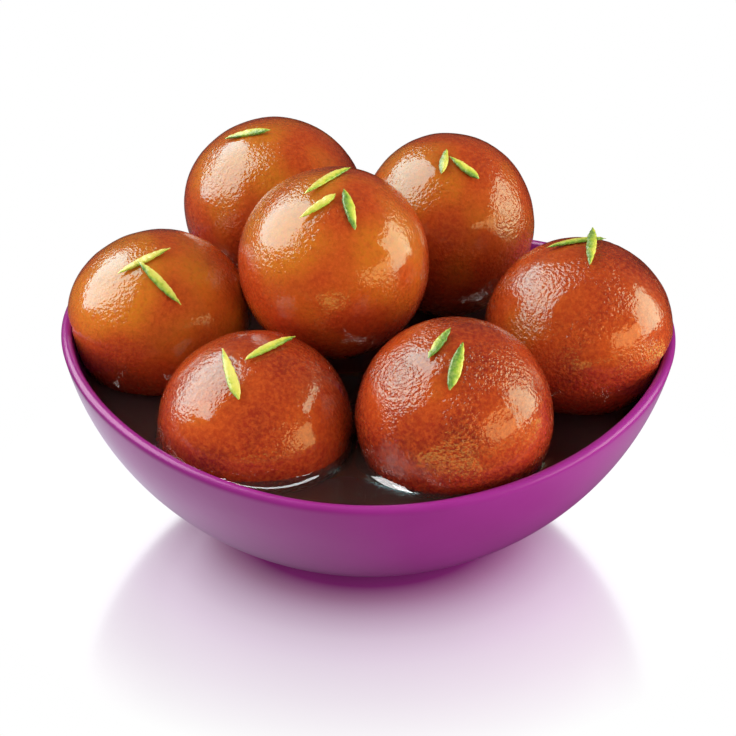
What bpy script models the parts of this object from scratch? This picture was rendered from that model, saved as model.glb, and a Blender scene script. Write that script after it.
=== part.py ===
"""Gulab jamun in a bowl: seven fried milk-dough balls standing in sugar syrup, in a shallow bowl.

Metres, +Z up. The origin is the middle of the bowl's flat foot, on the surface that it stands on.
-Y is the bowl's front. The rim is a gentle wave: highest at the two sides, lowest at front and back.
"""

import math
from collections import namedtuple

import bmesh
import bpy
from mathutils import Vector

# Bowl: an ellipsoid shell, cut flat below by its foot and above by its waved rim.
RIM_RADIUS = 0.074  # at the sides, over the lip
RIM_HEIGHT = 0.055  # at the sides
RIM_DIP = 0.0095  # how much lower the rim is at front and back
BELLY_RADIUS = 0.0751  # the ellipsoid's level half-width
BELLY_HEIGHT = 0.0710  # the ellipsoid's upright half-height
BELLY_CENTRE = RIM_HEIGHT + BELLY_HEIGHT * math.sqrt(1 - (RIM_RADIUS / BELLY_RADIUS) ** 2)
WALL = 0.0026  # at the rim
FLOOR_EXTRA = 0.0052  # what the floor's middle has over the wall
FLOOR_FALLOFF = 6  # how fast that extra dies away up the wall

ROUND_STEPS = 64
ANGLES = [2 * math.pi * step / ROUND_STEPS for step in range(ROUND_STEPS)]
WALL_STEPS = 8
LIP_STEPS = 4

# Syrup: fills the bowl to a level just below the lowest point of the rim.
SYRUP_LEVEL = RIM_HEIGHT - 0.013
GAP = 0.0003  # between pieces that touch

# Balls. Heights are measured from the rim's height at the sides.
# A ball is squat above its middle and a little sagged below, and never quite round.
Ball = namedtuple("Ball", "name x y z radius upper lower lump phase")
BALLS = (
    Ball("jamun_top", -0.0085, -0.0015, 0.0160, 0.0228, 0.97, 1.05, 0.010, 0.4),
    Ball("jamun_back_left", -0.0246, 0.0455, 0.0092, 0.0230, 0.93, 1.08, 0.011, 1.7),
    Ball("jamun_back_right", 0.0195, 0.0335, 0.0095, 0.0218, 1.05, 1.12, 0.012, 2.9),
    Ball("jamun_left", -0.0505, 0.0010, -0.0005, 0.0223, 0.91, 0.98, 0.010, 4.1),
    Ball("jamun_right", 0.0500, -0.0075, 0.0020, 0.0222, 0.95, 1.00, 0.012, 5.0),
    Ball("jamun_front_left", -0.0257, -0.0355, -0.0095, 0.0226, 0.95, 1.00, 0.010, 0.9),
    Ball("jamun_front_right", 0.0196, -0.0405, -0.0035, 0.0226, 0.99, 1.00, 0.013, 3.5),
)
BALL_AROUND = 22
BALL_RINGS = 13
RIM_RELEASE = 0.0010  # above the rim by this much, a ball may start to bulge over it

# Colours, linear RGB
GLAZE_PURPLE = (0.30, 0.03, 0.25, 1)
FRIED_BROWN = (0.42, 0.10, 0.02, 1)
SYRUP_BROWN = (0.03, 0.010, 0.006, 1)


def clear_scene():
    for obj in list(bpy.data.objects):
        bpy.data.objects.remove(obj, do_unlink=True)


def material(name, colour, roughness):
    made = bpy.data.materials.new(name)
    made.use_nodes = True
    shader = made.node_tree.nodes["Principled BSDF"]
    shader.inputs["Base Color"].default_value = colour
    shader.inputs["Roughness"].default_value = roughness
    shader.inputs["Metallic"].default_value = 0
    return made


def add_object(name, shape, finish=None):
    """The bmesh as an object with smooth faces, facing out."""
    bmesh.ops.recalc_face_normals(shape, faces=shape.faces)
    mesh = bpy.data.meshes.new(name)
    shape.to_mesh(mesh)
    shape.free()
    mesh.shade_smooth()
    mesh.set_sharp_from_angle(angle=math.radians(40))
    if finish:
        mesh.materials.append(finish)
    obj = bpy.data.objects.new(name, mesh)
    bpy.context.scene.collection.objects.link(obj)
    return obj


# ---- Bowl -------------------------------------------------------------------------------------


def rim_height(angle):
    """The lip's height at an angle round the bowl, where 0 is +X."""
    return RIM_HEIGHT - RIM_DIP * math.sin(angle) ** 2


def lip_start(angle):
    """Where the wall ends and the rounded lip starts."""
    return rim_height(angle) - WALL / 2


def shell_point(height, inward):
    """The radius of the belly, this far inward of its outer face, at a height above the foot."""
    cosine = min(1, (BELLY_CENTRE - height) / (BELLY_HEIGHT - inward))
    return (BELLY_RADIUS - inward) * math.sqrt(1 - cosine**2)


def wall_at(height):
    """The wall's thickness at a height: even up the wall, more towards the middle of the floor."""
    cosine = min(1, (BELLY_CENTRE - height) / BELLY_HEIGHT)
    return WALL + FLOOR_EXTRA * cosine**FLOOR_FALLOFF


def inner_floor():
    """The height of the inside's lowest point."""
    return BELLY_CENTRE - (BELLY_HEIGHT - WALL - FLOOR_EXTRA)


def inner_radius(height):
    return shell_point(height, wall_at(height))


def inner_profile(top):
    """(radius, height) up the inside, from beside the floor's middle to a height."""
    floor = inner_floor()
    points = []
    for step in range(1, WALL_STEPS + 1):
        share = step / WALL_STEPS
        height = floor + (top - floor) * (share + math.sin(share * math.pi / 2) ** 2) / 2
        points.append((inner_radius(height), height))
    return points


def bowl_profile(angle):
    """(radius, height) of the bowl's section at an angle, from the foot's edge over the lip to the floor."""
    half = WALL / 2
    top = lip_start(angle)
    points = []
    for step in range(WALL_STEPS + 1):
        height = top * (step / WALL_STEPS) ** 1.3
        points.append((shell_point(height, 0), height))
    middle = shell_point(top, 0) - half
    for step in range(1, LIP_STEPS):
        turn = math.pi * step / LIP_STEPS
        points.append((middle + half * math.cos(turn), top + half * math.sin(turn)))
    return points + inner_profile(top)[::-1]


def turned(sections, bottom, top):
    """A closed solid from the (radius, height) points of its section at each angle."""
    shape = bmesh.new()
    rings = []
    for angle, section in zip(ANGLES, sections):
        outward = Vector((math.cos(angle), math.sin(angle), 0))
        rings.append([shape.verts.new(outward * r + Vector((0, 0, z))) for r, z in section])
    low = shape.verts.new((0, 0, bottom))
    high = shape.verts.new((0, 0, top))
    for here, there in zip(rings, rings[1:] + rings[:1]):
        shape.faces.new((low, there[0], here[0]))
        shape.faces.new((high, here[-1], there[-1]))
        for step in range(len(here) - 1):
            shape.faces.new((here[step], there[step], there[step + 1], here[step + 1]))
    return shape


def build_bowl():
    shape = turned([bowl_profile(angle) for angle in ANGLES], 0, inner_floor())
    return add_object("bowl", shape, material("purple_glaze", GLAZE_PURPLE, 0.25))


# ---- Balls ------------------------------------------------------------------------------------


def centre_of(ball):
    return Vector((ball.x, ball.y, RIM_HEIGHT + ball.z))


def reach(ball, direction):
    """How far the smooth ball extends along a direction."""
    tall = ball.upper if direction.z > 0 else ball.lower
    return ball.radius * math.hypot(direction.x, direction.y, tall * direction.z)


def unevenness(ball, direction):
    """A share of the radius, from broad soft swells that differ from ball to ball."""
    swell = math.sin(3.1 * direction.x + ball.phase) * math.cos(2.3 * direction.y - ball.phase)
    ripple = math.sin(4.3 * direction.z + 2.7 * direction.x + 2 * ball.phase)
    return ball.lump * (0.7 * swell + 0.3 * ripple)


def kept_off_neighbours(ball, point, gap):
    """Flattens the ball a little where it meets another, so that a gap stays between them."""
    centre = centre_of(ball)
    for other in BALLS:
        if other is ball:
            continue
        between = centre_of(other) - centre
        way = between.normalized()
        spare = between.length - reach(ball, way) - reach(other, -way)
        limit = reach(ball, way) + spare / 2 - gap / 2
        over = (point - centre).dot(way) - limit
        if over > 0:
            point = point - way * over
    return point


def kept_off_wall(point, gap):
    """Flattens the ball a little where it leans on the inside of the bowl."""
    angle = math.atan2(point.y, point.x)
    over_rim = point.z - rim_height(angle) - RIM_RELEASE
    limit = inner_radius(min(point.z, rim_height(angle))) * math.cos(math.pi / ROUND_STEPS) - gap
    limit += max(0, over_rim)
    radius = math.hypot(point.x, point.y)
    if radius > limit:
        point = Vector((point.x * limit / radius, point.y * limit / radius, point.z))
    return point


def ball_shape(ball, swollen=0.0):
    """The ball, or the same shape swollen evenly to cut its place in the syrup."""
    shape = bmesh.new()
    bmesh.ops.create_uvsphere(shape, u_segments=BALL_AROUND, v_segments=BALL_RINGS, radius=1)
    for vert in shape.verts:
        direction = vert.co.normalized()
        tall = ball.upper if direction.z > 0 else ball.lower
        size = ball.radius * (1 + unevenness(ball, direction))
        point = centre_of(ball) + size * Vector((direction.x, direction.y, tall * direction.z))
        point = kept_off_neighbours(ball, point, GAP)
        point = kept_off_wall(point, GAP)
        vert.co = point + swollen * direction
    return shape


def build_balls():
    finish = material("fried_milk_dough", FRIED_BROWN, 0.2)
    return [add_object(ball.name, ball_shape(ball), finish) for ball in BALLS]


# ---- Syrup ------------------------------------------------------------------------------------


def air_block():
    """Everything above the syrup's level."""
    shape = bmesh.new()
    bmesh.ops.create_cube(shape, size=4 * RIM_RADIUS)
    bmesh.ops.translate(shape, verts=shape.verts, vec=(0, 0, SYRUP_LEVEL + 2 * RIM_RADIUS))
    return shape


def cut_away(obj, name, shape):
    cutter = add_object(name, shape)
    cutter.hide_render = True
    cutter.display_type = "WIRE"
    cut = obj.modifiers.new(name, "BOOLEAN")
    cut.operation = "DIFFERENCE"
    cut.solver = "EXACT"
    cut.object = cutter


def build_syrup():
    """Fills the bowl to the level, with each ball's place cut out."""
    sections = []
    for angle in ANGLES:
        sections.append([(r - GAP, z + GAP) for r, z in inner_profile(lip_start(angle))])
    shape = turned(sections, inner_floor() + GAP, RIM_HEIGHT)
    syrup = add_object("syrup", shape, material("sugar_syrup", SYRUP_BROWN, 0.05))
    cut_away(syrup, "air_above_syrup", air_block())
    for ball in BALLS:
        if RIM_HEIGHT + ball.z - ball.radius * ball.lower < SYRUP_LEVEL:
            cut_away(syrup, "place_of_" + ball.name, ball_shape(ball, GAP))
    return syrup


clear_scene()
build_bowl()
build_balls()
build_syrup()
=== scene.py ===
"""Gulab jamun in a bowl: the looks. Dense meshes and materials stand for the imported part's solids.

Metres, +Z up, -Y the bowl's front. The shapes repeat the part's own sizes, so each piece lies where
its solid lies.
"""

import math
from collections import namedtuple

import bmesh
import bpy
import numpy as np
from mathutils import Matrix, Vector


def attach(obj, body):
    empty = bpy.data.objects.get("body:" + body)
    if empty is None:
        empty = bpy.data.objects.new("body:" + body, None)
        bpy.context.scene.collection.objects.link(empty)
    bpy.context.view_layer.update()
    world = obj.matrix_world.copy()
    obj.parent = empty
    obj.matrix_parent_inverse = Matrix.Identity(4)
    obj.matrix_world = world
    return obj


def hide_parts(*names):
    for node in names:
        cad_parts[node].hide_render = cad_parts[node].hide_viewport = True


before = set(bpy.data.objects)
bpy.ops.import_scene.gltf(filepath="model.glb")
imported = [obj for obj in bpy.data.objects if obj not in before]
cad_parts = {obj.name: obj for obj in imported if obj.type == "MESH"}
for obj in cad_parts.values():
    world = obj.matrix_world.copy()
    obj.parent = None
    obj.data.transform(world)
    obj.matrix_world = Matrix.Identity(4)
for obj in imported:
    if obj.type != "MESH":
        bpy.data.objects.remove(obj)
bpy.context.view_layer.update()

MM = 0.001

# ---- Sizes of the part ------------------------------------------------------------------------

# The bowl is part of an ellipsoid, cut off at the rim, which dips at the front and the back.
RIM_RADIUS = 0.074
RIM_HEIGHT = 0.055
RIM_DIP = 0.0095
BELLY_RADIUS = 0.0751
BELLY_HEIGHT = 0.0710
BELLY_CENTRE = RIM_HEIGHT + BELLY_HEIGHT * math.sqrt(1 - (RIM_RADIUS / BELLY_RADIUS) ** 2)
WALL = 0.0026
FLOOR_EXTRA = 0.0052  # how much thicker the wall gets at the bottom
FLOOR_FALLOFF = 6
SYRUP_LEVEL = RIM_HEIGHT - 0.013
GAP = 0.0003  # between two solids that touch
RIM_RELEASE = 0.0010

# x, y, z: its middle, z from the rim's height. upper and lower: the height of its upper and lower
# half as a share of its radius. lump: how uneven its shape is, and phase makes each one different.
# fried: 0 golden to 1 deep brown. rough: how crinkled the skin is. climb: how far the syrup is
# drawn up it, in millimetres.
Ball = namedtuple("Ball", "name x y z radius upper lower lump phase fried rough climb")
BALLS = (
    Ball("jamun_top", -0.0085, -0.0015, 0.0160, 0.0228, 0.97, 1.05, 0.010, 0.4, 0.27, 0.50, 2.1),
    Ball("jamun_back_left", -0.0246, 0.0455, 0.0092, 0.0230, 0.93, 1.08, 0.011, 1.7, 0.34, 0.54, 2.1),
    Ball("jamun_back_right", 0.0195, 0.0335, 0.0095, 0.0218, 1.05, 1.12, 0.012, 2.9, 0.34, 0.54, 2.1),
    Ball("jamun_left", -0.0505, 0.0010, -0.0005, 0.0223, 0.91, 0.98, 0.010, 4.1, 0.26, 0.46, 0.6),
    Ball("jamun_right", 0.0500, -0.0075, 0.0020, 0.0222, 0.95, 1.00, 0.012, 5.0, 0.60, 0.85, 0.6),
    Ball("jamun_front_left", -0.0257, -0.0355, -0.0095, 0.0226, 0.95, 1.00, 0.010, 0.9, 0.74, 0.42, 2.1),
    Ball("jamun_front_right", 0.0196, -0.0405, -0.0035, 0.0226, 0.99, 1.00, 0.013, 3.5, 0.80, 1.35, 2.1),
)


# ---- Small tools ------------------------------------------------------------------------------


def smooth(value):
    """0 to 1 with rounded ends, as value goes from 0 to 1."""
    value = np.clip(value, 0, 1)
    return value * value * (3 - 2 * value)


def waves(points, length, seed, count=40):
    """A soft random field of about unit spread, whose swells are about this long."""
    draw = np.random.default_rng(seed)
    ways = draw.normal(size=(count, 3))
    ways /= np.linalg.norm(ways, axis=1)[:, None]
    ways *= (2 * math.pi / length * draw.uniform(0.7, 1.35, count))[:, None]
    phases = draw.uniform(0, 2 * math.pi, count)
    return np.sin(points @ ways.T + phases).sum(axis=1) * math.sqrt(2 / count)


def add_piece(name, mesh, finish, slot, *replaced):
    """A finished mesh as a piece of the part."""
    mesh.name = name
    mesh.materials.clear()
    mesh.materials.append(finish)
    obj = bpy.data.objects.new(name, mesh)
    bpy.context.scene.collection.objects.link(obj)
    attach(obj, "root")
    if replaced:
        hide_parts(*replaced)
    return obj


def mesh_of(name, points, faces, sharp=None):
    """A smooth mesh, with creases where faces meet at more than the sharp angle in degrees."""
    mesh = bpy.data.meshes.new(name)
    mesh.from_pydata([tuple(p) for p in points], [], faces)
    mesh.validate()
    mesh.shade_smooth()
    if sharp:
        mesh.set_sharp_from_angle(angle=math.radians(sharp))
    return mesh


def set_attribute(mesh, name, values):
    """One number at each point, for the material to read."""
    made = mesh.attributes.new(name, "FLOAT", "POINT")
    made.data.foreach_set("value", np.asarray(values, np.float32))


# ---- Bowl -------------------------------------------------------------------------------------


def rim_height(angle):
    """Height of the rim at an angle round the bowl: highest at the two sides."""
    return RIM_HEIGHT - RIM_DIP * np.sin(angle) ** 2


def shell_radius(height, inward):
    """Radius, at a height, of the bowl's outer surface moved inward."""
    cosine = np.minimum(1, (BELLY_CENTRE - height) / (BELLY_HEIGHT - inward))
    return (BELLY_RADIUS - inward) * np.sqrt(1 - cosine**2)


def wall_at(height):
    """Thickness of the wall, which grows towards the floor."""
    cosine = np.minimum(1, (BELLY_CENTRE - height) / BELLY_HEIGHT)
    return WALL + FLOOR_EXTRA * cosine**FLOOR_FALLOFF


def inner_radius(height):
    return shell_radius(height, wall_at(height))


INNER_FLOOR = BELLY_CENTRE - (BELLY_HEIGHT - WALL - FLOOR_EXTRA)


def lathe(name, sections, bottom, top, sharp=None):
    """A closed mesh from the (radius, height) points of its section at each of many angles."""
    turns, rows = len(sections), len(sections[0])
    points = []
    for turn, section in enumerate(sections):
        angle = 2 * math.pi * turn / turns
        points += [(r * math.cos(angle), r * math.sin(angle), z) for r, z in section]
    points += [(0, 0, bottom), (0, 0, top)]
    low, high = turns * rows, turns * rows + 1
    faces = []
    for turn in range(turns):
        here, there = turn * rows, (turn + 1) % turns * rows
        faces.append((low, there, here))
        faces.append((high, here + rows - 1, there + rows - 1))
        for row in range(rows - 1):
            faces.append((here + row, there + row, there + row + 1, here + row + 1))
    return mesh_of(name, points, faces, sharp)


BOWL_TURNS = 320
FOOT_ROUND = 0.0007
FOOT_STEPS = 4
OUTSIDE_STEPS = 52
OUTSIDE_CROWDING = 1.3  # over 1: rows lie closer together near the foot
RIM_STEPS = 14
INSIDE_STEPS = 60
BOWL_CREASE = 50


def bowl_section(angle):
    """From the foot up the outside, over the rounded rim, and down the inside."""
    half = WALL / 2
    top = float(rim_height(angle)) - half
    section = []
    foot = float(shell_radius(FOOT_ROUND, 0)) - FOOT_ROUND
    for step in range(FOOT_STEPS):
        turn = math.pi / 2 * step / FOOT_STEPS
        section.append((foot + FOOT_ROUND * math.sin(turn), FOOT_ROUND * (1 - math.cos(turn))))
    for step in range(OUTSIDE_STEPS + 1):
        height = FOOT_ROUND + (top - FOOT_ROUND) * (step / OUTSIDE_STEPS) ** OUTSIDE_CROWDING
        section.append((float(shell_radius(height, 0)), height))
    middle = float(shell_radius(top, 0)) - half
    for step in range(1, RIM_STEPS):
        turn = math.pi * step / RIM_STEPS
        section.append((middle + half * math.cos(turn), top + half * math.sin(turn)))
    for step in range(INSIDE_STEPS, 0, -1):
        share = step / INSIDE_STEPS
        eased = (share + math.sin(share * math.pi / 2) ** 2) / 2
        height = INNER_FLOOR + (top - INNER_FLOOR) * eased
        section.append((float(inner_radius(height)), height))
    return section


def build_bowl(finish):
    sections = [bowl_section(2 * math.pi * turn / BOWL_TURNS) for turn in range(BOWL_TURNS)]
    mesh = lathe("bowl_shell", sections, 0, INNER_FLOOR, sharp=BOWL_CREASE)
    return add_piece("bowl_shell", mesh, finish, "bowl", "bowl")


# ---- Balls ------------------------------------------------------------------------------------

CONTACT_SOFTNESS = 0.06 * MM
CONTACT_NEAR = 1.0 * MM
WALL_SOFTNESS = 0.05 * MM
WALL_NEAR = 0.6 * MM
FILM_FULL = 0.35 * MM  # syrup closes any gap between two balls thinner than this
FILM_END = 1.5 * MM
FILM_LEFT = 0.04 * MM  # what stays open in the middle of the film
BALL_FINENESS = 7


def centre_of(ball):
    return np.array((ball.x, ball.y, RIM_HEIGHT + ball.z))


def tall_of(ball, ways):
    return np.where(ways[..., 2] > 0, ball.upper, ball.lower)


def reach(ball, ways):
    """How far the smooth ball extends along each direction."""
    upright = tall_of(ball, ways) * ways[..., 2]
    return ball.radius * np.sqrt(ways[..., 0] ** 2 + ways[..., 1] ** 2 + upright**2)


def unevenness(ball, ways):
    """The part's own slow swells, as a share of the radius."""
    swell = np.sin(3.1 * ways[:, 0] + ball.phase) * np.cos(2.3 * ways[:, 1] - ball.phase)
    ripple = np.sin(4.3 * ways[:, 2] + 2.7 * ways[:, 0] + 2 * ball.phase)
    return ball.lump * (0.7 * swell + 0.3 * ripple)


def soft_over(over, softness):
    """max(over, 0) with a rounded corner."""
    return softness * np.logaddexp(0, over / softness)


def seed_of(ball):
    return int(ball.phase * 10)


def skin_relief(ball, points):
    """How far the skin stands out: broad swells, shallow dents, and crinkles that come and go."""
    seed = seed_of(ball)
    crinkle = 0.35 + smooth(0.5 + 0.6 * waves(points, 14 * MM, seed + 5))
    out = 0.030 * MM * waves(points, 8.5 * MM, seed + 1)
    out += 0.006 * MM * waves(points, 3.6 * MM, seed + 2)
    out += 0.012 * MM * min(ball.rough * 1.2, 1.3) * crinkle * waves(points, 1.9 * MM, seed + 3)
    return out


def ball_points(ball, ways, inset=0.0, relief=True):
    """Where the ball's skin is along each direction from its middle."""
    centre = centre_of(ball)
    size = ball.radius * (1 + unevenness(ball, ways))
    stretched = np.stack([ways[:, 0], ways[:, 1], tall_of(ball, ways) * ways[:, 2]], axis=1)
    points = centre + size[:, None] * stretched
    if relief:
        points = points + ways * skin_relief(ball, points)[:, None]
    # pressed flat where it leans on another ball
    for other in BALLS:
        if other is ball:
            continue
        between = centre_of(other) - centre
        distance = np.linalg.norm(between)
        way = between / distance
        spare = distance - reach(ball, way) - reach(other, -way)
        limit = reach(ball, way) + spare / 2 - GAP / 2
        over = soft_over((points - centre) @ way - limit, CONTACT_SOFTNESS)
        over = np.where((points - centre) @ way > limit - CONTACT_NEAR, over, 0)
        points = points - way * over[:, None]
    # and where it leans on the wall
    angle = np.arctan2(points[:, 1], points[:, 0])
    rim = rim_height(angle)
    limit = inner_radius(np.minimum(points[:, 2], rim)) - GAP
    limit = limit + np.maximum(0, points[:, 2] - rim - RIM_RELEASE)
    radius = np.hypot(points[:, 0], points[:, 1])
    share = (radius - soft_over(radius - limit, WALL_SOFTNESS)) / radius
    share = np.where(radius > limit - WALL_NEAR, share, 1)
    points[:, 0] *= share
    points[:, 1] *= share
    return points - ways * inset


def with_film(ball, ways, points):
    """Syrup held between touching balls: the skin rises to meet its neighbour across a thin gap."""
    for other in BALLS:
        if other is ball:
            continue
        apart = points - centre_of(other)
        distance = np.linalg.norm(apart, axis=1)
        gap = distance - reach(other, apart / distance[:, None])
        fill = smooth((FILM_END - gap) / (FILM_END - FILM_FULL))
        rise = np.where(gap < FILM_END, np.maximum(gap - FILM_LEFT, 0) / 2 * fill, 0)
        points = points - (apart / distance[:, None]) * rise[:, None]
    return points


def sphere_mesh(fineness):
    """A ball of radius 1, and the direction of each of its points."""
    shape = bmesh.new()
    bmesh.ops.create_icosphere(shape, subdivisions=fineness, radius=1)
    mesh = bpy.data.meshes.new("sphere")
    shape.to_mesh(mesh)
    shape.free()
    ways = np.empty(len(mesh.vertices) * 3, np.float32)
    mesh.vertices.foreach_get("co", ways)
    ways = ways.reshape(-1, 3).astype(float)
    ways /= np.linalg.norm(ways, axis=1)[:, None]
    return mesh, ways


# Painted sheen: each ball is painted lighter and golden round these two directions, where the highlights
# of the lights on the left and on the right fall.
PAINTED_SHEEN_LEFT = np.array((-0.48, -0.45, 0.75))
PAINTED_SHEEN_RIGHT = np.array((0.64, -0.64, 0.42))


def skin_tone_and_painted_sheen(ball, points, ways):
    """How dark the crust is, from 0 golden to 1 deep brown, with a painted golden sheen round the
    highlights.
    """
    left = smooth((ways @ PAINTED_SHEEN_LEFT - 0.66) / 0.26)
    right = smooth((ways @ PAINTED_SHEEN_RIGHT - 0.72) / 0.24)
    tone_and_painted_sheen = ball.fried + 0.08 * waves(points, 16 * MM, seed_of(ball) + 7)
    # painted sheen: lighter and golden round the two highlights
    tone_and_painted_sheen += 0.08 - 0.34 * np.maximum(left, 0.45 * right)
    return np.clip(tone_and_painted_sheen, 0, 1)


def skin_crinkle(ball, points, ways):
    """How deep the finest wrinkles are, 0 to 1: patchy, and less where the lower half soaked smoother."""
    patchy = smooth(0.5 + 0.45 * waves(points, 15 * MM, seed_of(ball) + 9))
    above = smooth((ways[:, 2] + 0.50) / 0.5)
    return np.clip(ball.rough * (0.15 + 0.85 * patchy) * (0.5 + 0.5 * above), 0, 1)


def build_balls(finish):
    sphere, ways = sphere_mesh(BALL_FINENESS)
    made = []
    for ball in BALLS:
        points = with_film(ball, ways, ball_points(ball, ways))
        mesh = sphere.copy()
        mesh.vertices.foreach_set("co", points.astype(np.float32).ravel())
        mesh.update()
        mesh.shade_smooth()
        # lower parts are darker and redder: partly syrup soaked into them, partly painted shade
        soak_and_shade = smooth((0.35 - ways[:, 2]) / 1.1)
        set_attribute(mesh, "crinkle", skin_crinkle(ball, points, ways))
        set_attribute(mesh, "soak_and_shade", soak_and_shade)
        set_attribute(mesh, "tone_and_painted_sheen", skin_tone_and_painted_sheen(ball, points, ways))
        made.append(add_piece(ball.name + "_skin", mesh, finish, "jamun", ball.name))
    bpy.data.meshes.remove(sphere)
    return made


# ---- Syrup ------------------------------------------------------------------------------------

SYRUP_TURNS = 640
SYRUP_RINGS = 150
HIDDEN_RADIUS = 14 * MM  # the top ball hides the surface nearer the middle, so its rings are few
HIDDEN_RINGS = 10
SYRUP_SIDE_STEPS = 12
SYRUP_CREASE = 38
INTO_WALL = 0.4 * MM
INTO_BALL = 0.45 * MM
CLIMB = 2.1 * MM  # how high syrup climbs the wall
CLIMB_LENGTH = 1.6 * MM
CLIMB_MOST = 3.2 * MM
BALL_CUTTER_FINENESS = 5


def syrup_height(x, y):
    """The surface: level, and drawn up where it meets a ball or the wall."""
    radius = np.hypot(x, y)
    rise = CLIMB * np.exp(-np.maximum(inner_radius(SYRUP_LEVEL) - radius, 0) / CLIMB_LENGTH)
    for ball in BALLS:
        depth = (RIM_HEIGHT + ball.z - SYRUP_LEVEL) / (ball.radius * ball.lower)
        if depth < 1:
            away = np.hypot(x - ball.x, y - ball.y)
            wet = ball.radius * math.sqrt(1 - depth**2)
            rise = rise + ball.climb * MM * np.exp(-np.maximum(away - wet, 0) / CLIMB_LENGTH)
    swell = 0.02 * MM * waves(np.stack([x, y, 0 * x], axis=1), 16 * MM, 61)
    return SYRUP_LEVEL + np.minimum(rise, CLIMB_MOST) + swell


def build_syrup(finish):
    edge = float(inner_radius(SYRUP_LEVEL + CLIMB_MOST)) + INTO_WALL
    seen = np.linspace(edge, HIDDEN_RADIUS, SYRUP_RINGS)
    hidden = np.linspace(HIDDEN_RADIUS, 0, HIDDEN_RINGS + 1, endpoint=False)[1:]
    radii = np.concatenate([seen, hidden])
    side = []
    for step in range(1, SYRUP_SIDE_STEPS + 1):
        share = step / SYRUP_SIDE_STEPS
        height = INNER_FLOOR + (SYRUP_LEVEL - INNER_FLOOR) * (share**2 + share) / 2
        side.append((float(inner_radius(height)) + INTO_WALL, height - INTO_WALL))
    sections = []
    for turn in range(SYRUP_TURNS):
        angle = 2 * math.pi * turn / SYRUP_TURNS
        heights = syrup_height(radii * math.cos(angle), radii * math.sin(angle))
        sections.append(side + list(zip(radii.tolist(), heights.tolist())))
    middle = float(syrup_height(np.zeros(1), np.zeros(1))[0])
    mesh = lathe("syrup_pool", sections, INNER_FLOOR - INTO_WALL, middle)
    pool = add_piece("syrup_pool", mesh, finish, "syrup", "syrup")
    # cut out the place of each ball that stands in it
    sphere, ways = sphere_mesh(BALL_CUTTER_FINENESS)
    cutters = []
    for ball in BALLS:
        if RIM_HEIGHT + ball.z - ball.radius * ball.lower > SYRUP_LEVEL + CLIMB_MOST:
            continue
        shape = sphere.copy()
        points = ball_points(ball, ways, inset=INTO_BALL, relief=False)
        shape.vertices.foreach_set("co", points.astype(np.float32).ravel())
        shape.update()
        cutter = bpy.data.objects.new("place_of_" + ball.name, shape)
        bpy.context.scene.collection.objects.link(cutter)
        cut = pool.modifiers.new(cutter.name, "BOOLEAN")
        cut.operation = "DIFFERENCE"
        cut.solver = "MANIFOLD"
        cut.object = cutter
        cutters.append(cutter)
    graph = bpy.context.evaluated_depsgraph_get()
    cut_mesh = bpy.data.meshes.new_from_object(pool.evaluated_get(graph))
    pool.modifiers.clear()
    pool.data = cut_mesh
    cut_mesh.materials.clear()
    cut_mesh.materials.append(finish)
    cut_mesh.name = "syrup_pool"
    cut_mesh.shade_smooth()
    cut_mesh.set_sharp_from_angle(angle=math.radians(SYRUP_CREASE))
    for cutter in cutters:
        bpy.data.objects.remove(cutter)
    bpy.data.meshes.remove(sphere)
    return pool


# ---- Pistachio slivers ------------------------------------------------------------------------

# start and end: where the sliver's ends lie on its ball, as the level part of the direction from
# the ball's middle. width, thick and lift are in millimetres. widest: where along it. bow: 0
# straight to 1 bent round the ball. lift: how far each end is propped off the ball. roll: turn on
# its own length, in radians. green: 0 yellow to 1 deep green.
Sliver = namedtuple("Sliver", "ball start end width thick widest bow lift_start lift_end roll green")
SLIVERS = (
    Sliver("jamun_back_left", (-0.51, -0.13), (-0.02, -0.19), 1.9, 0.9, 0.60, 0.5, 0.1, 0.3, 0.2, 0.55),
    Sliver("jamun_top", (-0.28, -0.35), (0.17, 0.15), 1.9, 0.8, 0.50, 0.6, 0.5, 0.1, 0.1, 0.35),
    Sliver("jamun_top", (-0.31, -0.59), (0.03, -0.37), 1.8, 0.9, 0.70, 0.2, 0.9, 0.2, 0.1, 0.30),
    Sliver("jamun_top", (0.10, -0.29), (0.22, -0.69), 2.3, 1.0, 0.45, 0.6, 0.1, 0.1, -0.1, 0.75),
    Sliver("jamun_left", (-0.36, -0.50), (0.16, -0.23), 1.7, 0.9, 0.55, 0.4, 0.2, 0.3, 0.0, 0.15),
    Sliver("jamun_left", (-0.15, -0.43), (0.30, -0.77), 2.0, 1.0, 0.45, 0.5, 1.0, 0.2, 0.1, 0.50),
    Sliver("jamun_back_right", (-0.04, -0.26), (-0.10, -0.57), 1.9, 1.0, 0.60, 0.3, 0.3, 0.2, 0.2, 0.60),
    Sliver("jamun_back_right", (-0.01, -0.38), (0.30, -0.58), 2.1, 1.0, 0.70, 0.3, 0.4, 0.6, -0.1, 0.55),
    Sliver("jamun_right", (-0.38, 0.03), (0.25, 0.21), 1.9, 0.9, 0.55, 0.5, 0.1, 0.2, 0.0, 0.45),
    Sliver("jamun_right", (0.10, 0.24), (0.03, -0.38), 2.1, 1.0, 0.40, 0.2, 1.9, 0.3, 0.2, 0.75),
    Sliver("jamun_front_left", (-0.08, -0.34), (0.38, 0.15), 1.9, 1.0, 0.45, 0.5, 0.2, 0.6, 0.0, 0.40),
    Sliver("jamun_front_left", (-0.29, -0.14), (-0.11, -0.70), 2.3, 1.0, 0.72, 0.4, 0.5, 0.2, -0.2, 0.35),
    Sliver("jamun_front_right", (-0.28, -0.42), (-0.06, -0.08), 1.9, 1.0, 0.50, 0.4, 0.2, 0.6, 0.1, 0.80),
    Sliver("jamun_front_right", (0.05, -0.28), (-0.08, -0.72), 2.5, 1.1, 0.60, 0.5, 0.3, 0.2, -0.2, 0.80),
)
SLIVER_STEPS = 44
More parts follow.
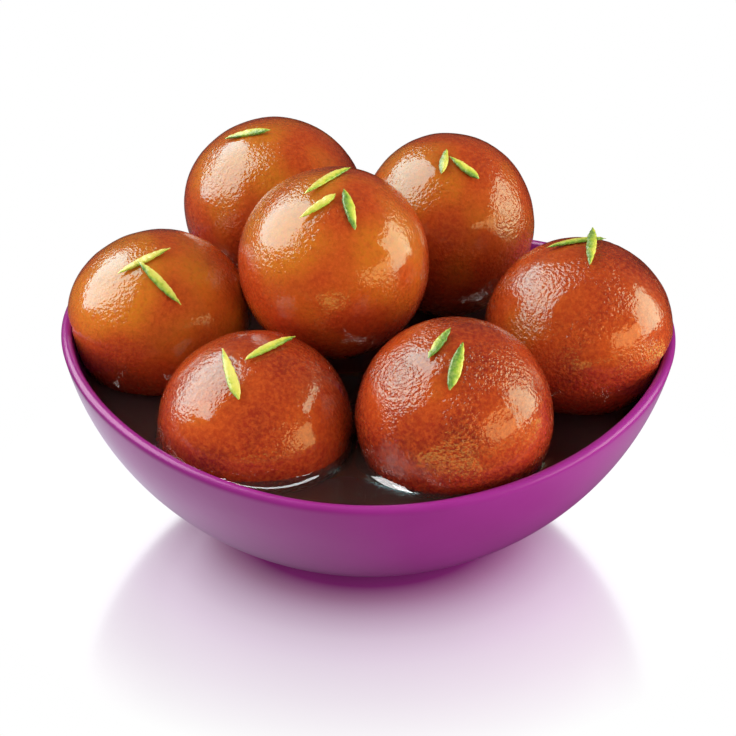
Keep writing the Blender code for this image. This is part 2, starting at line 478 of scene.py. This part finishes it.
SLIVER_AROUND = 20
SLIVER_CREASE = 60
SLIVER_MIDDLE = 0.42  # its middle's height over the skin, as a share of its thickness
SLIVER_BROAD = 1.14  # every row's width is taken times this
BY_NAME = {ball.name: ball for ball in BALLS}


def way_of(level):
    """The upward direction whose level part is given."""
    x, y = level
    return np.array((x, y, math.sqrt(1 - x * x - y * y)))


def sliver_line(sliver):
    """Points along the sliver's middle, with the ball's outward direction at each."""
    ball = BY_NAME[sliver.ball]
    start, end = way_of(sliver.start), way_of(sliver.end)
    shares = np.linspace(0, 1, SLIVER_STEPS)
    spread = math.acos(float(start @ end))
    ways = np.outer(np.sin((1 - shares) * spread), start) + np.outer(np.sin(shares * spread), end)
    ways /= np.linalg.norm(ways, axis=1)[:, None]
    on_skin = ball_points(ball, ways, relief=False)
    chord = np.outer(1 - shares, on_skin[0]) + np.outer(shares, on_skin[-1])
    middle_way = ways[SLIVER_STEPS // 2]
    depth = np.max((on_skin - chord) @ middle_way)
    straight = chord + middle_way * depth
    line = on_skin * sliver.bow + straight * (1 - sliver.bow)
    # each point is at least on the skin
    line += ways * np.maximum(0, np.sum((on_skin - line) * ways, axis=1))[:, None]
    lift = sliver.lift_start * (1 - shares) ** 1.5 + sliver.lift_end * shares**1.5
    line += ways * (lift * MM + sliver.thick * MM * SLIVER_MIDDLE)[:, None]
    return line, ways, shares


def sliver_outline(sliver, shares):
    """Half its width, and half its thickness, at each share of its length: a leaf shape."""
    rising = shares / sliver.widest / 2
    falling = 1 - (1 - shares) / (1 - sliver.widest) / 2
    bent = np.where(shares < sliver.widest, rising, falling)
    outline = np.sin(np.pi * np.clip(bent, 0.02, 0.98)) ** 0.72
    ends = np.minimum(1, 9 * np.minimum(shares, 1 - shares) + 0.12)
    half_width = SLIVER_BROAD * sliver.width * MM / 2 * outline
    half_thick = sliver.thick * MM / 2 * np.sqrt(outline) * ends
    return half_width, half_thick


def sliver_round():
    """Points round a sliver's section, from -1 to 1: a soft-cornered oblong, flatter below."""
    ring = []
    for part in range(SLIVER_AROUND):
        angle = 2 * math.pi * part / SLIVER_AROUND
        c, s = math.cos(angle), math.sin(angle)
        u = math.copysign(abs(c) ** 0.72, c)
        v = math.copysign(abs(s) ** 0.62, s)
        ring.append((u, v if v > 0 else v * 0.8))
    return ring


def sliver_faces(first):
    """Faces of the sliver whose points start at this number, with its two ends closed."""
    faces = []
    for step in range(SLIVER_STEPS - 1):
        here, there = first + step * SLIVER_AROUND, first + (step + 1) * SLIVER_AROUND
        for part in range(SLIVER_AROUND):
            after = (part + 1) % SLIVER_AROUND
            faces.append((here + part, here + after, there + after, there + part))
    last = first + (SLIVER_STEPS - 1) * SLIVER_AROUND
    faces.append(tuple(range(first + SLIVER_AROUND - 1, first - 1, -1)))
    faces.append(tuple(range(last, last + SLIVER_AROUND)))
    return faces


def build_slivers(finish):
    points, faces, across, along, greens = [], [], [], [], []
    ring = sliver_round()
    for sliver in SLIVERS:
        line, ways, shares = sliver_line(sliver)
        forward = np.gradient(line, axis=0)
        forward /= np.linalg.norm(forward, axis=1)[:, None]
        sides = np.cross(ways, forward)
        sides /= np.linalg.norm(sides, axis=1)[:, None]
        ups = np.cross(forward, sides)
        half_width, half_thick = sliver_outline(sliver, shares)
        faces += sliver_faces(len(points))
        for step in range(SLIVER_STEPS):
            turn = sliver.roll * (0.5 + shares[step])
            side = sides[step] * math.cos(turn) + ups[step] * math.sin(turn)
            up = ups[step] * math.cos(turn) - sides[step] * math.sin(turn)
            for u, v in ring:
                points.append(line[step] + side * half_width[step] * u + up * half_thick[step] * v)
                across.append(u)
                along.append(shares[step])
                greens.append(sliver.green)
    # the knife's and the nut's small unevenness
    points = np.array(points)
    wobble = 0.045 * MM * waves(points, 1.5 * MM, 71) + 0.02 * MM * waves(points, 0.7 * MM, 72)
    middle = np.repeat(points.reshape(-1, SLIVER_AROUND, 3).mean(axis=1), SLIVER_AROUND, axis=0)
    outward = points - middle
    outward /= np.maximum(np.linalg.norm(outward, axis=1), 1e-6)[:, None]
    points = points + outward * wobble[:, None]
    mesh = mesh_of("pistachio_slivers", points, faces, sharp=SLIVER_CREASE)
    set_attribute(mesh, "across", across)
    set_attribute(mesh, "along", along)
    set_attribute(mesh, "green", greens)
    return add_piece("pistachio_slivers", mesh, finish, "pistachio")


# ---- Materials --------------------------------------------------------------------------------


def rgba(colour):
    return (*colour, 1)


class Nodes:
    """A short way to write a material's nodes."""

    def __init__(self, name):
        self.material = bpy.data.materials.new(name)
        self.material.use_nodes = True
        self.tree = self.material.node_tree
        self.shader = self.tree.nodes["Principled BSDF"]
        self.output = self.tree.nodes["Material Output"]
        self.place = self.tree.nodes.new("ShaderNodeTexCoord").outputs["Object"]

    def link(self, start, end):
        self.tree.links.new(start, end)

    def put(self, socket, value):
        if isinstance(value, bpy.types.NodeSocket):
            self.link(value, socket)
        else:
            socket.default_value = value

    def noise(self, scale, detail=2, roughness=0.5):
        node = self.tree.nodes.new("ShaderNodeTexNoise")
        self.link(self.place, node.inputs["Vector"])
        node.inputs["Scale"].default_value = scale
        node.inputs["Detail"].default_value = detail
        node.inputs["Roughness"].default_value = roughness
        return node.outputs["Fac"]

    def attribute(self, name):
        node = self.tree.nodes.new("ShaderNodeAttribute")
        node.attribute_name = name
        return node.outputs["Fac"]

    def ramp(self, value, *stops):
        """A colour for the value, blended between (value, colour) stops."""
        node = self.tree.nodes.new("ShaderNodeValToRGB")
        self.link(value, node.inputs["Fac"])
        bar = node.color_ramp
        while len(bar.elements) < len(stops):
            bar.elements.new(0.5)
        for element, (position, colour) in zip(bar.elements, stops):
            element.position = position
            element.color = rgba(colour)
        return node.outputs["Color"]

    def spread(self, value, low, high, to_low, to_high):
        """The range from low to high, stretched to the range from to_low to to_high."""
        node = self.tree.nodes.new("ShaderNodeMapRange")
        self.link(value, node.inputs["Value"])
        node.inputs["From Min"].default_value = low
        node.inputs["From Max"].default_value = high
        node.inputs["To Min"].default_value = to_low
        node.inputs["To Max"].default_value = to_high
        return node.outputs["Result"]

    def curve(self, value, *points):
        """Straight lines between (input, output) points, level beyond them."""
        node = self.tree.nodes.new("ShaderNodeFloatCurve")
        span = points[-1][0]
        node.mapping.extend = "HORIZONTAL"
        line = node.mapping.curves[0]
        while len(line.points) < len(points):
            line.points.new(0.5, 0.5)
        for point, (x, y) in zip(line.points, points):
            point.location = (x / span, y)
            point.handle_type = "VECTOR"
        node.mapping.update()
        self.link(self.maths("DIVIDE", value, span), node.inputs["Value"])
        return node.outputs["Value"]

    def glow(self, strength, colour=(1, 1, 1)):
        node = self.tree.nodes.new("ShaderNodeEmission")
        node.inputs["Color"].default_value = rgba(colour)
        self.put(node.inputs["Strength"], strength)
        return node.outputs[0]

    def blend(self, factor, first, second):
        """The first shader at factor 0, the second at factor 1."""
        node = self.tree.nodes.new("ShaderNodeMixShader")
        for socket, value in zip(node.inputs, (factor, first, second)):
            self.put(socket, value)
        return node.outputs[0]

    def maths(self, operation, *values):
        node = self.tree.nodes.new("ShaderNodeMath")
        node.operation = operation
        for socket, value in zip(node.inputs, values):
            self.put(socket, value)
        return node.outputs["Value"]

    def mix(self, factor, first, second, blend="MIX"):
        """A socket's colour with a fixed colour laid over it."""
        node = self.tree.nodes.new("ShaderNodeMix")
        node.data_type = "RGBA"
        node.blend_type = blend
        sockets = [s for s in node.inputs if s.enabled]
        for socket, value in zip(sockets, (factor, first, rgba(second))):
            self.put(socket, value)
        return next(s for s in node.outputs if s.enabled)

    def bump(self, *layers):
        """Layers of (height socket, depth in metres) and, if it isn't 1 all over, strength."""
        normal = None
        for height, depth, *strength in layers:
            node = self.tree.nodes.new("ShaderNodeBump")
            self.put(node.inputs["Strength"], strength[0] if strength else 1)
            node.inputs["Distance"].default_value = depth
            self.link(height, node.inputs["Height"])
            if normal:
                self.link(normal, node.inputs["Normal"])
            normal = node.outputs["Normal"]
        return normal

    def set(self, **values):
        """Set or link the shader's own sockets by name."""
        for key, value in values.items():
            self.put(self.shader.inputs[key.replace("_", " ")], value)


def jamun_material():
    n = Nodes("fried_dough_wet")
    golden, orange = (0.56, 0.165, 0.012), (0.46, 0.056, 0.010)
    brown, deep = (0.32, 0.026, 0.010), (0.21, 0.015, 0.009)
    broad = n.noise(75, 3, 0.55)
    # this value carries painted golden sheen round the highlights as well as the crust's own colour
    tone_and_painted_sheen = n.maths("ADD", n.attribute("tone_and_painted_sheen"), n.spread(broad, 0.3, 0.7, -0.14, 0.14))
    base = n.ramp(tone_and_painted_sheen, (0.0, golden), (0.38, orange), (0.78, brown), (1.0, deep))
    # fine pale mottling of the fried crumb, and a few darker specks
    base = n.mix(n.spread(n.noise(1050, 3, 0.65), 0.40, 0.66, 0.0, 0.50), base, (0.68, 0.120, 0.020))
    base = n.mix(n.spread(n.noise(800, 2, 0.6), 0.50, 0.72, 0.0, 0.32), base, (0.24, 0.018, 0.006))
    # partly painted shade: darker and redder towards the bottom
    soak_and_shade = n.attribute("soak_and_shade")
    base = n.mix(n.maths("MULTIPLY", soak_and_shade, 0.85), base, (0.98, 0.54, 0.95), "MULTIPLY")
    n.set(Base_Color=base, Roughness=n.spread(n.noise(600, 2), 0.3, 0.7, 0.22, 0.32))
    n.set(Subsurface_Weight=0.10, Subsurface_Radius=(1.0, 0.30, 0.10), Subsurface_Scale=0.0022)
    # the soft sheen of the soaked crumb, golden, under the clear coat of syrup
    n.set(Specular_IOR_Level=0.30, Specular_Tint=rgba((1.0, 0.58, 0.03)))
    n.set(Coat_Weight=1.0, Coat_IOR=1.5, Coat_Roughness=0.015)
    # wrinkles, and a finer grain that never quite goes
    crinkle = n.attribute("crinkle")
    grain = n.maths("ADD", n.maths("MULTIPLY", crinkle, 0.6), 0.25)
    normal = n.bump(
        (n.noise(1250, 1.5, 0.5), 0.00052, crinkle),
        (n.noise(2300, 1, 0.5), 0.00003, grain),
    )
    n.set(Normal=normal, Coat_Normal=normal)
    return n.material


def syrup_material():
    n = Nodes("sugar_syrup")
    n.set(Base_Color=rgba((0.95, 0.50, 0.42)), Roughness=0.02, IOR=1.45, Transmission_Weight=0.970)
    n.set(Normal=n.bump((n.noise(70, 1), 0.00002)))
    body = n.tree.nodes.new("ShaderNodeVolumeAbsorption")
    body.inputs["Color"].default_value = rgba((0.70, 0.34, 0.16))
    body.inputs["Density"].default_value = 400
    n.link(body.outputs["Volume"], n.output.inputs["Volume"])
    return n.material


def bowl_material():
    n = Nodes("purple_melamine")
    magenta, violet = (0.285, 0.014, 0.200), (0.320, 0.018, 0.230)
    cloud = n.noise(38, 2, 0.5)
    n.set(Base_Color=n.ramp(cloud, (0.30, magenta), (0.70, violet)))
    n.set(Roughness=n.spread(cloud, 0.3, 0.7, 0.29, 0.33))
    n.set(Specular_IOR_Level=0.36, Coat_Weight=0.18, Coat_Roughness=0.12)
    n.set(Subsurface_Weight=0.06, Subsurface_Radius=(1.0, 0.25, 0.85), Subsurface_Scale=0.0015)
    normal = n.bump((n.noise(140, 2), 0.00005))
    n.set(Normal=normal, Coat_Normal=normal)
    return n.material


def pistachio_material():
    n = Nodes("pistachio")
    across, along = n.attribute("across"), n.attribute("along")
    # greener along one edge, where the nut's skin was, at the tips and in patches
    patchy = n.spread(n.noise(330, 3, 0.6), 0.3, 0.7, -0.22, 0.22)
    edge = n.maths("MULTIPLY", across, -0.42)
    tips = n.maths("MULTIPLY", n.maths("ABSOLUTE", n.maths("SUBTRACT", along, 0.5)), 0.35)
    green = n.maths("ADD", edge, n.maths("ADD", patchy, n.attribute("green")))
    green = n.maths("ADD", green, tips)
    colour = n.ramp(
        green,
        (0.12, (0.76, 0.68, 0.13)),
        (0.50, (0.60, 0.60, 0.050)),
        (0.78, (0.26, 0.42, 0.020)),
        (1.0, (0.08, 0.22, 0.012)),
    )
    streak = n.spread(n.noise(1600, 2), 0.4, 0.72, 0.0, 0.25)
    colour = n.mix(streak, colour, (0.80, 0.74, 0.24))
    n.set(Base_Color=colour, Roughness=n.spread(n.noise(900, 2), 0.3, 0.7, 0.36, 0.52))
    n.set(Subsurface_Weight=0.2, Subsurface_Radius=(1.0, 1.0, 0.3), Subsurface_Scale=0.0008)
    n.set(Coat_Weight=0.45, Coat_Roughness=0.10)
    normal = n.bump((n.noise(700, 3, 0.6), 0.00012), (n.noise(2600, 2), 0.00004))
    n.set(Normal=normal, Coat_Normal=normal)
    return n.material


# ---- Floor, light and camera ------------------------------------------------------------------

FLOOR_SIDE = 6.0
FLOOR_DROP = 0.00005
FLOOR_ROUGHNESS = 0.14
# (distance from the bowl's axis, value): painted shade darkens the mirror under the bowl, and
# further out a painted purple glow stands for the bowl's colour thrown on the sheet.
FLOOR_MIRROR_SHADE = ((0.028, 0.45), (0.040, 1.0))
FLOOR_PAINTED_BOUNCE = ((0.040, 0.0), (0.062, 0.20))
FLOOR_BOUNCE_GLOW = (0.70, 0.10, 1.0)
# (distance from the bowl's axis, share of mirror in the white sheet)
FLOOR_GLOSS = (
    (0.034, 1.0),
    (0.040, 0.88),
    (0.048, 0.67),
    (0.056, 0.49),
    (0.066, 0.36),
    (0.079, 0.24),
    (0.090, 0.12),
    (0.100, 0.0),
)
# How bright the part's own gloss sees the sheet: by distance from the bowl's axis, times a share
# by how far to the right, counted from FLOOR_IN_GLOSS_FROM.
FLOOR_IN_GLOSS = (
    (0.035, 0.06),
    (0.048, 0.36),
    (0.066, 0.80),
    (0.100, 0.80),
    (0.130, 0.08),
    (0.220, 0.03),
)
FLOOR_IN_GLOSS_ACROSS = ((0.045, 1.0), (0.115, 0.12), (0.160, 0.12), (0.190, 0.42))
FLOOR_IN_GLOSS_FROM = -0.1
FLOOR_IN_GLOSS_STRENGTH = 1.5
FLOOR_IN_DIFFUSE = 0.72


def build_floor():
    """White gloss sheet: it mirrors the bowl close by, and runs into plain white further off."""
    half = FLOOR_SIDE / 2
    corners = [(-half, -half), (half, -half), (half, half), (-half, half)]
    mesh = mesh_of("floor", [(x, y, -FLOOR_DROP) for x, y in corners], [(0, 1, 2, 3)])
    n = Nodes("white_gloss_sheet")
    middle = n.tree.nodes.new("ShaderNodeVectorMath")
    middle.operation = "LENGTH"
    n.link(n.place, middle.inputs[0])
    away = middle.outputs["Value"]
    mirror = n.tree.nodes.new("ShaderNodeBsdfGlossy")
    mirror.inputs["Roughness"].default_value = FLOOR_ROUGHNESS
    # painted shade: the mirror is darker near the bowl's foot
    n.link(n.curve(away, *FLOOR_MIRROR_SHADE), mirror.inputs["Color"])
    both = n.tree.nodes.new("ShaderNodeAddShader")
    n.link(mirror.outputs[0], both.inputs[0])
    # painted bounce light: a purple glow on the sheet round the bowl
    n.link(n.glow(n.curve(away, *FLOOR_PAINTED_BOUNCE), FLOOR_BOUNCE_GLOW), both.inputs[1])
    sheet = n.blend(n.curve(away, *FLOOR_GLOSS), n.glow(1.0), both.outputs[0])
    # what the part sees of the sheet: its own pattern in the gloss, an even pale light otherwise
    ray = n.tree.nodes.new("ShaderNodeLightPath")
    split = n.tree.nodes.new("ShaderNodeSeparateXYZ")
    n.link(n.place, split.inputs[0])
    across = n.maths("ADD", split.outputs["X"], -FLOOR_IN_GLOSS_FROM)
    sides = n.curve(across, *FLOOR_IN_GLOSS_ACROSS)
    sides = n.maths("MULTIPLY", sides, FLOOR_IN_GLOSS_STRENGTH)
    seen = n.maths("MULTIPLY", n.curve(away, *FLOOR_IN_GLOSS), sides)
    sheet = n.blend(ray.outputs["Is Glossy Ray"], sheet, n.glow(seen, (0.86, 0.92, 1.0)))
    sheet = n.blend(ray.outputs["Is Diffuse Ray"], sheet, n.glow(FLOOR_IN_DIFFUSE))
    n.link(sheet, n.output.inputs["Surface"])
    mesh.materials.append(n.material)
    floor = bpy.data.objects.new("floor", mesh)
    bpy.context.scene.collection.objects.link(floor)
    return floor


def direction(bearing, elevation):
    """Bearing in degrees from the back (+Y), towards the right (+X)."""
    b, e = math.radians(bearing), math.radians(elevation)
    return Vector((math.sin(b) * math.cos(e), math.cos(b) * math.cos(e), math.sin(e)))


def area_light(row):
    """A lamp from its row; radiance is its brightness beside the white floor's 1."""
    light = bpy.data.lights.new(row.name, "AREA")
    light.shape = "RECTANGLE"
    light.size, light.size_y = row.width, row.height
    light.energy = row.radiance * math.pi * row.width * row.height
    light.color = row.colour
    lamp = bpy.data.objects.new(row.name, light)
    lamp.visible_camera = False
    lamp.visible_diffuse = row.gives == "shade"
    lamp.visible_glossy = row.gives == "gloss"
    bpy.context.scene.collection.objects.link(lamp)
    return lamp


def link_light(lamp, objects, state):
    """Light only these objects, or all but these."""
    group = bpy.data.collections.new(lamp.name + "_receivers")
    for obj in objects:
        group.objects.link(obj)
    for member in group.collection_objects:
        member.light_linking.link_state = state
    lamp.light_linking.receiver_collection = group


# Soft boxes that face the middle of the rim, in metres and degrees. gives: what the light adds,
# gloss or shade. lights: which things it falls on. Those of the bowl fall on the slivers too, and
# its shade falls on the syrup.
Lamp = namedtuple("Lamp", "name bearing elevation distance width height radiance colour roll gives lights")
WHITE = (1, 1, 1)
SKY = (0.46, 0.86, 0.93)
MINT = (0.70, 1.0, 0.72)
PALE_MINT = (0.80, 0.92, 0.80)
LIME = (0.75, 1.0, 0.62)
GOLD = (1.0, 0.80, 0.35)
ROSE = (1.0, 0.80, 0.75)
PEACH = (1.0, 0.82, 0.70)
CREAM = (1.0, 0.90, 0.62)
YELLOW = (0.95, 1.0, 0.25)
LAMPS = (
    Lamp("softbox_left", -74, 41, 1.4, 1.64, 1.64, 5.5, WHITE, 45, "gloss", "bowl"),
    Lamp("softbox_left_skin", -77, 39.5, 1.4, 1.56, 1.56, 7.0, SKY, 45, "gloss", "balls"),
    Lamp("softbox_left_bright", -74, 41, 1.4, 1.2, 1.2, 15, WHITE, 45, "gloss", "syrup"),
    Lamp("strip_above", 0, 86, 1.2, 1.7, 0.28, 14, WHITE, 0, "gloss", "syrup"),
    Lamp("softbox_right", 84, 14, 1.4, 1.0, 1.05, 4.0, PALE_MINT, 0, "gloss", "bowl"),
    Lamp("softbox_right_far", 113, 6, 1.4, 0.75, 0.75, 2.2, LIME, 0, "gloss", "bowl"),
    Lamp("softbox_right_skin", 86, 14, 1.4, 0.95, 1.05, 4.9, MINT, 0, "gloss", "balls"),
    Lamp("softbox_right_low_skin", 124, 5, 1.4, 0.95, 0.60, 3.2, GOLD, 0, "gloss", "balls"),
    Lamp("key_left", -80, 50, 1.2, 1.1, 1.0, 3.5, WHITE, 0, "shade", "bowl"),
    Lamp("key_left_soft", -78, 40, 1.2, 1.1, 1.0, 2.9, WHITE, 0, "shade", "balls"),
    Lamp("fill_right", 106, 8, 1.2, 1.1, 0.9, 7.4, WHITE, 0, "shade", "bowl"),
    Lamp("fill_right_soft", 112, 8, 1.2, 1.1, 0.9, 2.2, WHITE, 0, "shade", "balls"),
    Lamp("back_right_soft", 62, 24, 1.2, 0.8, 0.8, 1.9, ROSE, 0, "shade", "balls"),
    Lamp("low_left", -118, 5, 1.2, 0.9, 0.45, 3.5, ROSE, 0, "shade", "balls"),
    Lamp("low_right", 126, 5, 1.2, 0.9, 0.45, 4.8, PEACH, 0, "shade", "balls"),
    Lamp("floor_glow_0", 0, 28, 2.0, 4.4, 2.4, 1.0, WHITE, 0, "gloss", "floor"),
    Lamp("floor_glow_90", 90, 28, 2.0, 4.4, 2.4, 1.0, WHITE, 0, "gloss", "floor"),
    Lamp("floor_glow_180", 180, 28, 2.0, 4.4, 2.4, 1.0, WHITE, 0, "gloss", "floor"),
    Lamp("floor_glow_270", 270, 28, 2.0, 4.4, 2.4, 1.0, WHITE, 0, "gloss", "floor"),
)
# The white sheet beside the bowl, as the balls see it: lamps that lie on it and face up, x and y
# their middles.
Bounce = namedtuple("Bounce", "name x y width height radiance colour gives")
BOUNCES = (
    Bounce("bounce_left", -0.14, -0.12, 0.16, 0.22, 1.5, CREAM, "shade"),
    Bounce("bounce_right", 0.14, -0.12, 0.16, 0.22, 1.5, CREAM, "shade"),
    Bounce("bounce_right_gold", 0.10, -0.12, 0.32, 0.30, 2.2, YELLOW, "gloss"),
)
BOUNCE_HEIGHT = 0.002


def build_light(floor, balls, syrup):
    """Gloss lights give the reflections, soft lights the shading. The floor has lights of its own."""
    only = {"balls": balls, "syrup": [syrup], "floor": [floor]}
    but = {"gloss": [floor, *balls, syrup], "shade": [floor, *balls]}
    for row in LAMPS:
        lamp = area_light(row)
        away = direction(row.bearing, row.elevation)
        lamp.location = Vector((0, 0, RIM_HEIGHT)) + away * row.distance
        roll = Matrix.Rotation(math.radians(row.roll), 3, "Z")
        lamp.rotation_euler = (away.to_track_quat("Z", "Y").to_matrix() @ roll).to_euler()
        if row.lights == "syrup":
            # seen in the syrup itself, but not again in the sweets beside it
            lamp.data.cycles.max_bounces = 0
        if row.lights == "bowl":
            link_light(lamp, but[row.gives], "EXCLUDE")
        else:
            link_light(lamp, only[row.lights], "INCLUDE")
    for row in BOUNCES:
        sheet = area_light(row)
        sheet.location = (row.x, row.y, BOUNCE_HEIGHT)
        sheet.rotation_euler = (math.pi, 0, 0)
        link_light(sheet, balls, "INCLUDE")


WORLD_IN_GLOSS = 0.05


def build_world():
    """White where the camera sees it, a dim room in reflections, soft light from above otherwise."""
    world = bpy.data.worlds.new("studio")
    bpy.context.scene.world = world
    world.use_nodes = True
    tree = world.node_tree
    background = tree.nodes["Background"]
    ray = tree.nodes.new("ShaderNodeLightPath")
    place = tree.nodes.new("ShaderNodeTexCoord")
    split = tree.nodes.new("ShaderNodeSeparateXYZ")
    tree.links.new(place.outputs["Generated"], split.inputs[0])
    up = tree.nodes.new("ShaderNodeMapRange")
    tree.links.new(split.outputs["Z"], up.inputs["Value"])
    up.inputs["From Min"].default_value = -0.3
    up.inputs["From Max"].default_value = 0.9
    up.inputs["To Min"].default_value = 0.30
    up.inputs["To Max"].default_value = 0.62

    def pick(test, yes, no):
        node = tree.nodes.new("ShaderNodeMix")
        tree.links.new(test, node.inputs["Factor"])
        for socket, value in ((node.inputs["A"], no), (node.inputs["B"], yes)):
            if isinstance(value, float):
                socket.default_value = value
            else:
                tree.links.new(value, socket)
        return node.outputs["Result"]

    seen = pick(ray.outputs["Is Glossy Ray"], WORLD_IN_GLOSS, up.outputs["Result"])
    strength = pick(ray.outputs["Is Camera Ray"], 1.0, seen)
    tree.links.new(strength, background.inputs["Strength"])
    background.inputs["Color"].default_value = rgba(WHITE)
    world.cycles.sampling_method = "NONE"


CAMERA_DISTANCE = 0.553
CAMERA_ELEVATION = math.radians(28.19)
CAMERA_AIM = Vector((0, 0, RIM_HEIGHT - 0.005))
CAMERA_PITCH = math.radians(29.0)
CAMERA_ROLL = math.radians(0.70)
CAMERA_LENS = 111.6  # millimetres, on a sensor this wide
CAMERA_SENSOR = 36


def build_camera():
    camera = bpy.data.cameras.new("camera")
    camera.sensor_width = CAMERA_SENSOR
    camera.lens = CAMERA_LENS
    camera.clip_start = 0.01
    obj = bpy.data.objects.new("camera", camera)
    away = Vector((0, -math.cos(CAMERA_ELEVATION), math.sin(CAMERA_ELEVATION)))
    place = Matrix.Translation(CAMERA_AIM + away * CAMERA_DISTANCE)
    turn = Matrix.Rotation(math.pi / 2 - CAMERA_PITCH, 4, "X") @ Matrix.Rotation(CAMERA_ROLL, 4, "Z")
    obj.matrix_world = place @ turn
    bpy.context.scene.collection.objects.link(obj)
    bpy.context.scene.camera = obj


# ---- The scene --------------------------------------------------------------------------------

build_camera()
build_world()
floor = build_floor()
build_bowl(bowl_material())
balls = build_balls(jamun_material())
syrup = build_syrup(syrup_material())
build_light(floor, balls, syrup)
build_slivers(pistachio_material())

view = bpy.context.scene.view_settings
view.view_transform = "Standard"
view.look = "None"

bpy.context.view_layer.update()
